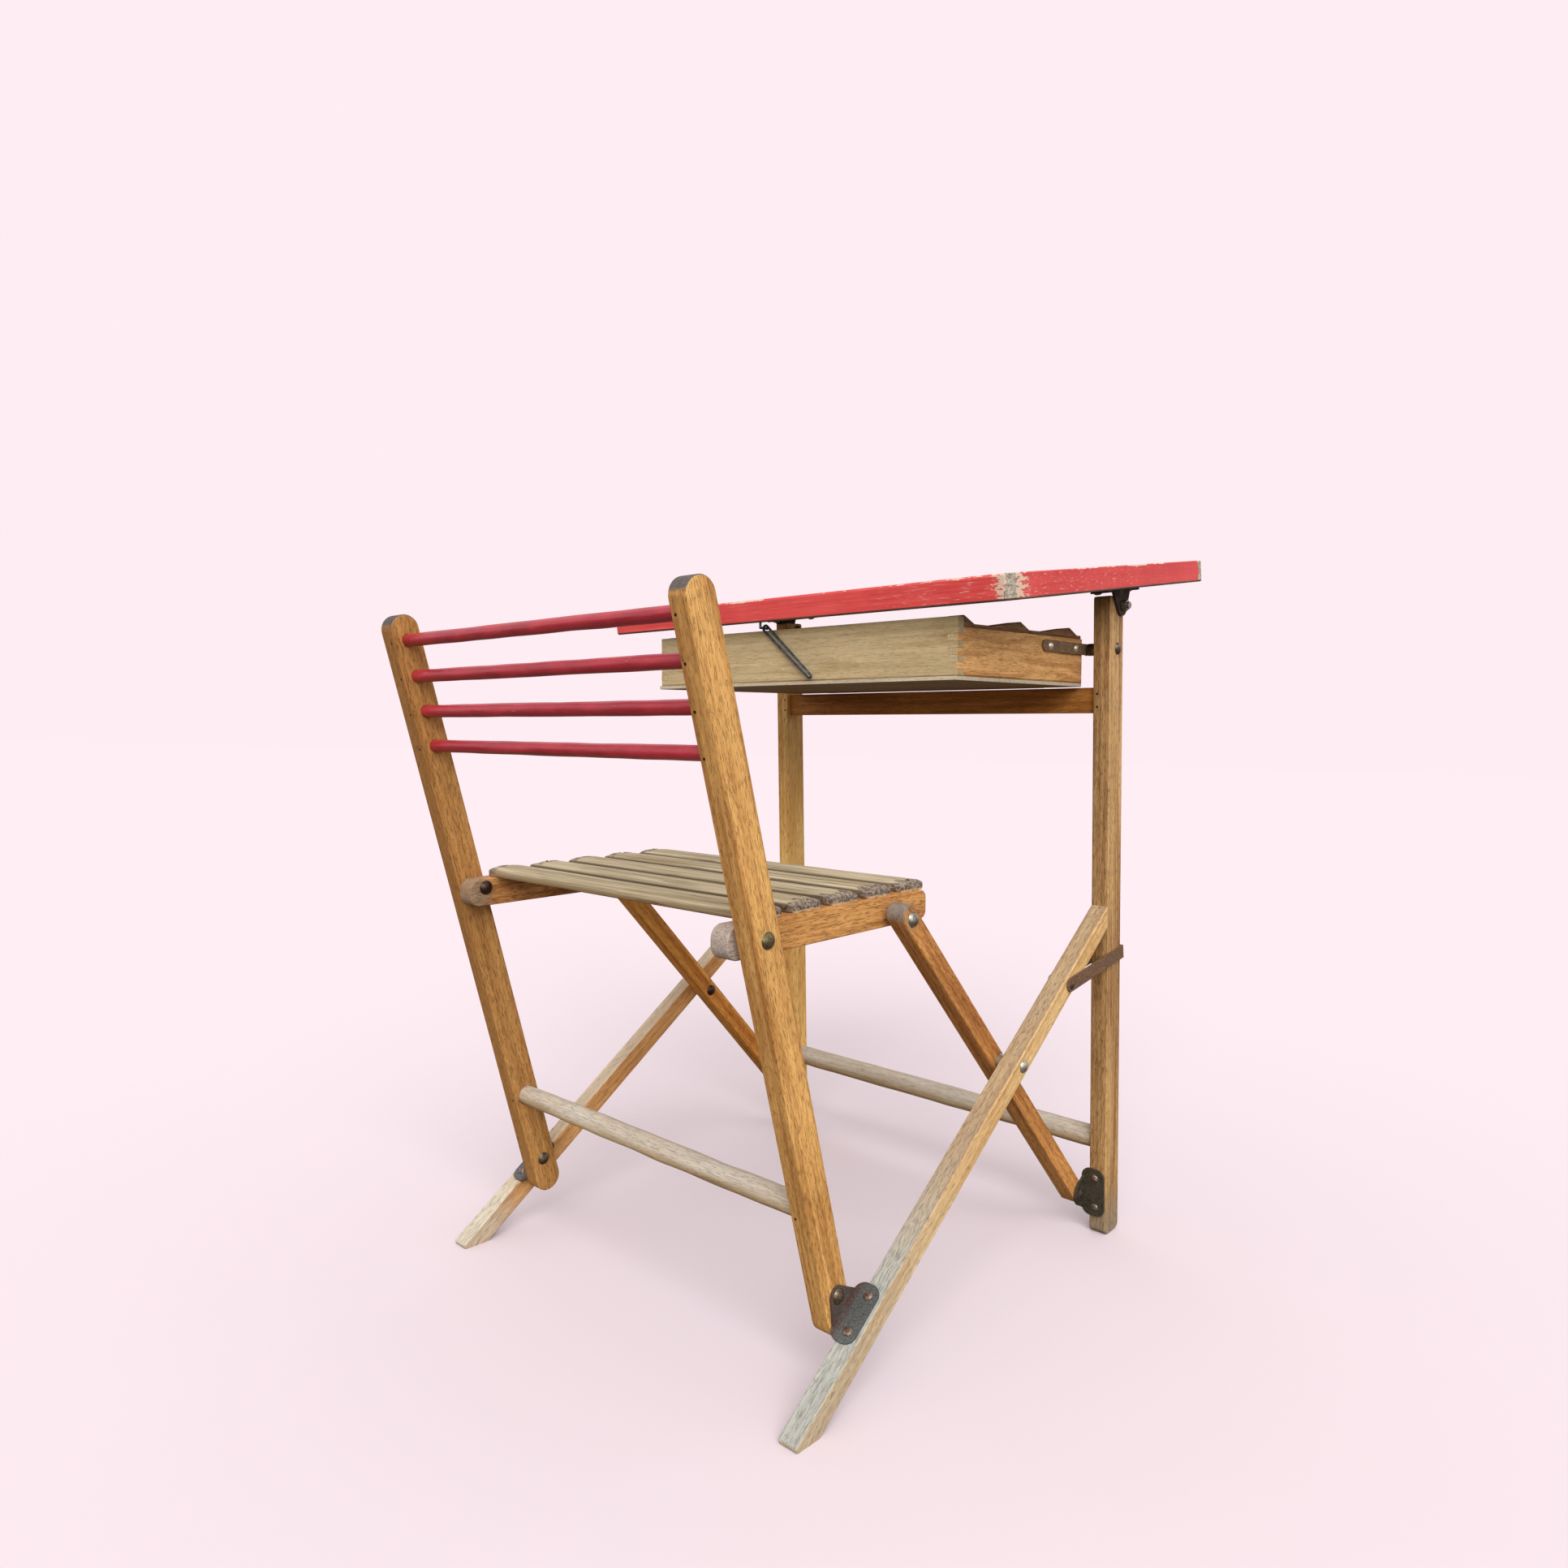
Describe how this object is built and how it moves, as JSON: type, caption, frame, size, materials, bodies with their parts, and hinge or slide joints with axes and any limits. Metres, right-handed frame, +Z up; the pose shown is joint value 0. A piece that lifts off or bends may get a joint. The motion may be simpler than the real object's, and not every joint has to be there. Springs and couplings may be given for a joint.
{
  "type": "folding school desk",
  "caption": "Folding wooden school desk joined to a slatted chair with a rung back, on crossed legs, with a sloping red top over a shallow box.",
  "frame": {"origin": "middle of the bounding box, on the floor, with the desk open", "axes": "+Z up, +Y the way the sitter faces, +X to the sitter's right"},
  "size_m": [0.442, 0.6298, 0.6301],
  "materials": {
    "honey_wood": "worn satin varnish",
    "weathered_wood": "matt, weathered",
    "box_wood": "dull, aged",
    "dark_wood": "dark stain",
    "red_painted_wood": "chipped semi-gloss paint",
    "dark_steel": "dull, rusty",
    "fastener_steel": "worn, tarnished",
    "wire_steel": "dull wire"
  },
  "bodies": {
    "ground_legs": {"left_ground_leg": "honey_wood", "right_ground_leg": "honey_wood", "left_post_bracket": "dark_steel", "right_post_bracket": "dark_steel", "post_bracket_screws": "fastener_steel", "post_pivot_rivets": "fastener_steel"},
    "braces": {"left_front_brace": "honey_wood", "right_front_brace": "honey_wood", "scissor_rivets": "fastener_steel", "seat_front_bolts": "fastener_steel"},
    "chair_back": {"left_back_post": "honey_wood", "right_back_post": "honey_wood", "back_rung_1": "red_painted_wood", "back_rung_2": "red_painted_wood", "back_rung_3": "red_painted_wood", "back_rung_4": "red_painted_wood", "rear_stretcher": "weathered_wood", "rung_nails": "fastener_steel", "seat_rear_bolts": "fastener_steel"},
    "seat": {"left_seat_rail": "honey_wood", "right_seat_rail": "honey_wood", "seat_slat_1": "weathered_wood", "seat_slat_2": "weathered_wood", "seat_slat_3": "weathered_wood", "seat_slat_4": "weathered_wood", "seat_slat_5": "weathered_wood", "slat_nails": "fastener_steel", "seat_front_bolt_ends": "fastener_steel"},
    "desk_frame": {"left_desk_leg": "honey_wood", "right_desk_leg": "honey_wood", "crossbar": "box_wood", "front_stretcher": "weathered_wood", "left_leg_bracket": "dark_steel", "right_leg_bracket": "dark_steel", "leg_bracket_screws": "fastener_steel", "leg_pivot_rivets": "fastener_steel", "crossbar_nails": "fastener_steel", "strap_pivot_rivets": "fastener_steel", "top_hinge_bolts": "fastener_steel", "top_hinge_nuts": "fastener_steel"},
    "locking_bails": {"left_locking_bail": "dark_steel", "right_locking_bail": "dark_steel", "bail_rivets": "fastener_steel"},
    "desk_box": {"box_rear_panel": "box_wood", "box_front_panel": "box_wood", "box_left_side": "box_wood", "box_right_side": "box_wood", "box_bottom_board": "box_wood", "left_rack": "dark_wood", "right_rack": "dark_wood", "left_box_strap": "dark_steel", "right_box_strap": "dark_steel", "strap_rivets": "fastener_steel"},
    "desk_top": {"tabletop": "red_painted_wood", "left_hinge_ear": "dark_steel", "right_hinge_ear": "dark_steel", "hinge_ear_screws": "fastener_steel", "stay_hook": "wire_steel"},
    "top_stay": {"wire_stay": "wire_steel"}
  },
  "joints": [
    {"name": "fold", "type": "hinge", "parent": "ground_legs", "child": "braces", "pos_m": [0, 0.0376, 0.1895], "axis": [-1, 0, 0], "range_deg": [0, 88]},
    {"name": "back_fold", "type": "hinge", "parent": "ground_legs", "child": "chair_back", "pos_m": [0, -0.16515, 0.06934], "axis": [-1, 0, 0], "range_deg": [0, 62.82]},
    {"name": "seat_fold", "type": "hinge", "parent": "chair_back", "child": "seat", "pos_m": [0, -0.24077, 0.31967], "axis": [1, 0, 0], "range_deg": [0, 90.03]},
    {"name": "desk_fold", "type": "hinge", "parent": "braces", "child": "desk_frame", "pos_m": [0, 0.18802, 0.03589], "axis": [1, 0, 0], "range_deg": [0, 30.81]},
    {"name": "bail_fold", "type": "hinge", "parent": "ground_legs", "child": "locking_bails", "pos_m": [0, 0.11205, 0.24439], "axis": [-1, 0, 0], "range_deg": [0, 26.41]},
    {"name": "lid", "type": "hinge", "parent": "desk_frame", "child": "desk_top", "pos_m": [0, 0.18408, 0.57349], "axis": [-1, 0, 0], "range_deg": [0, 98]},
    {"name": "box_lift", "type": "hinge", "parent": "desk_frame", "child": "desk_box", "pos_m": [0, 0.18158, 0.53529], "axis": [-1, 0, 0], "range_deg": [0, 78.41]},
    {"name": "stay_swing", "type": "hinge", "parent": "desk_top", "child": "top_stay", "pos_m": [-0.028, -0.03352, 0.54499], "axis": [0, -1, 0], "range_deg": [0, 36]}
  ],
  "couplings": [
    {"joint": "back_fold", "follows": "fold", "ratio": 0.7138},
    {"joint": "seat_fold", "follows": "fold", "ratio": 1.0229},
    {"joint": "desk_fold", "follows": "fold", "ratio": 0.35},
    {"joint": "bail_fold", "follows": "fold", "ratio": 0.3},
    {"joint": "box_lift", "follows": "lid", "ratio": 0.8}
  ]
}
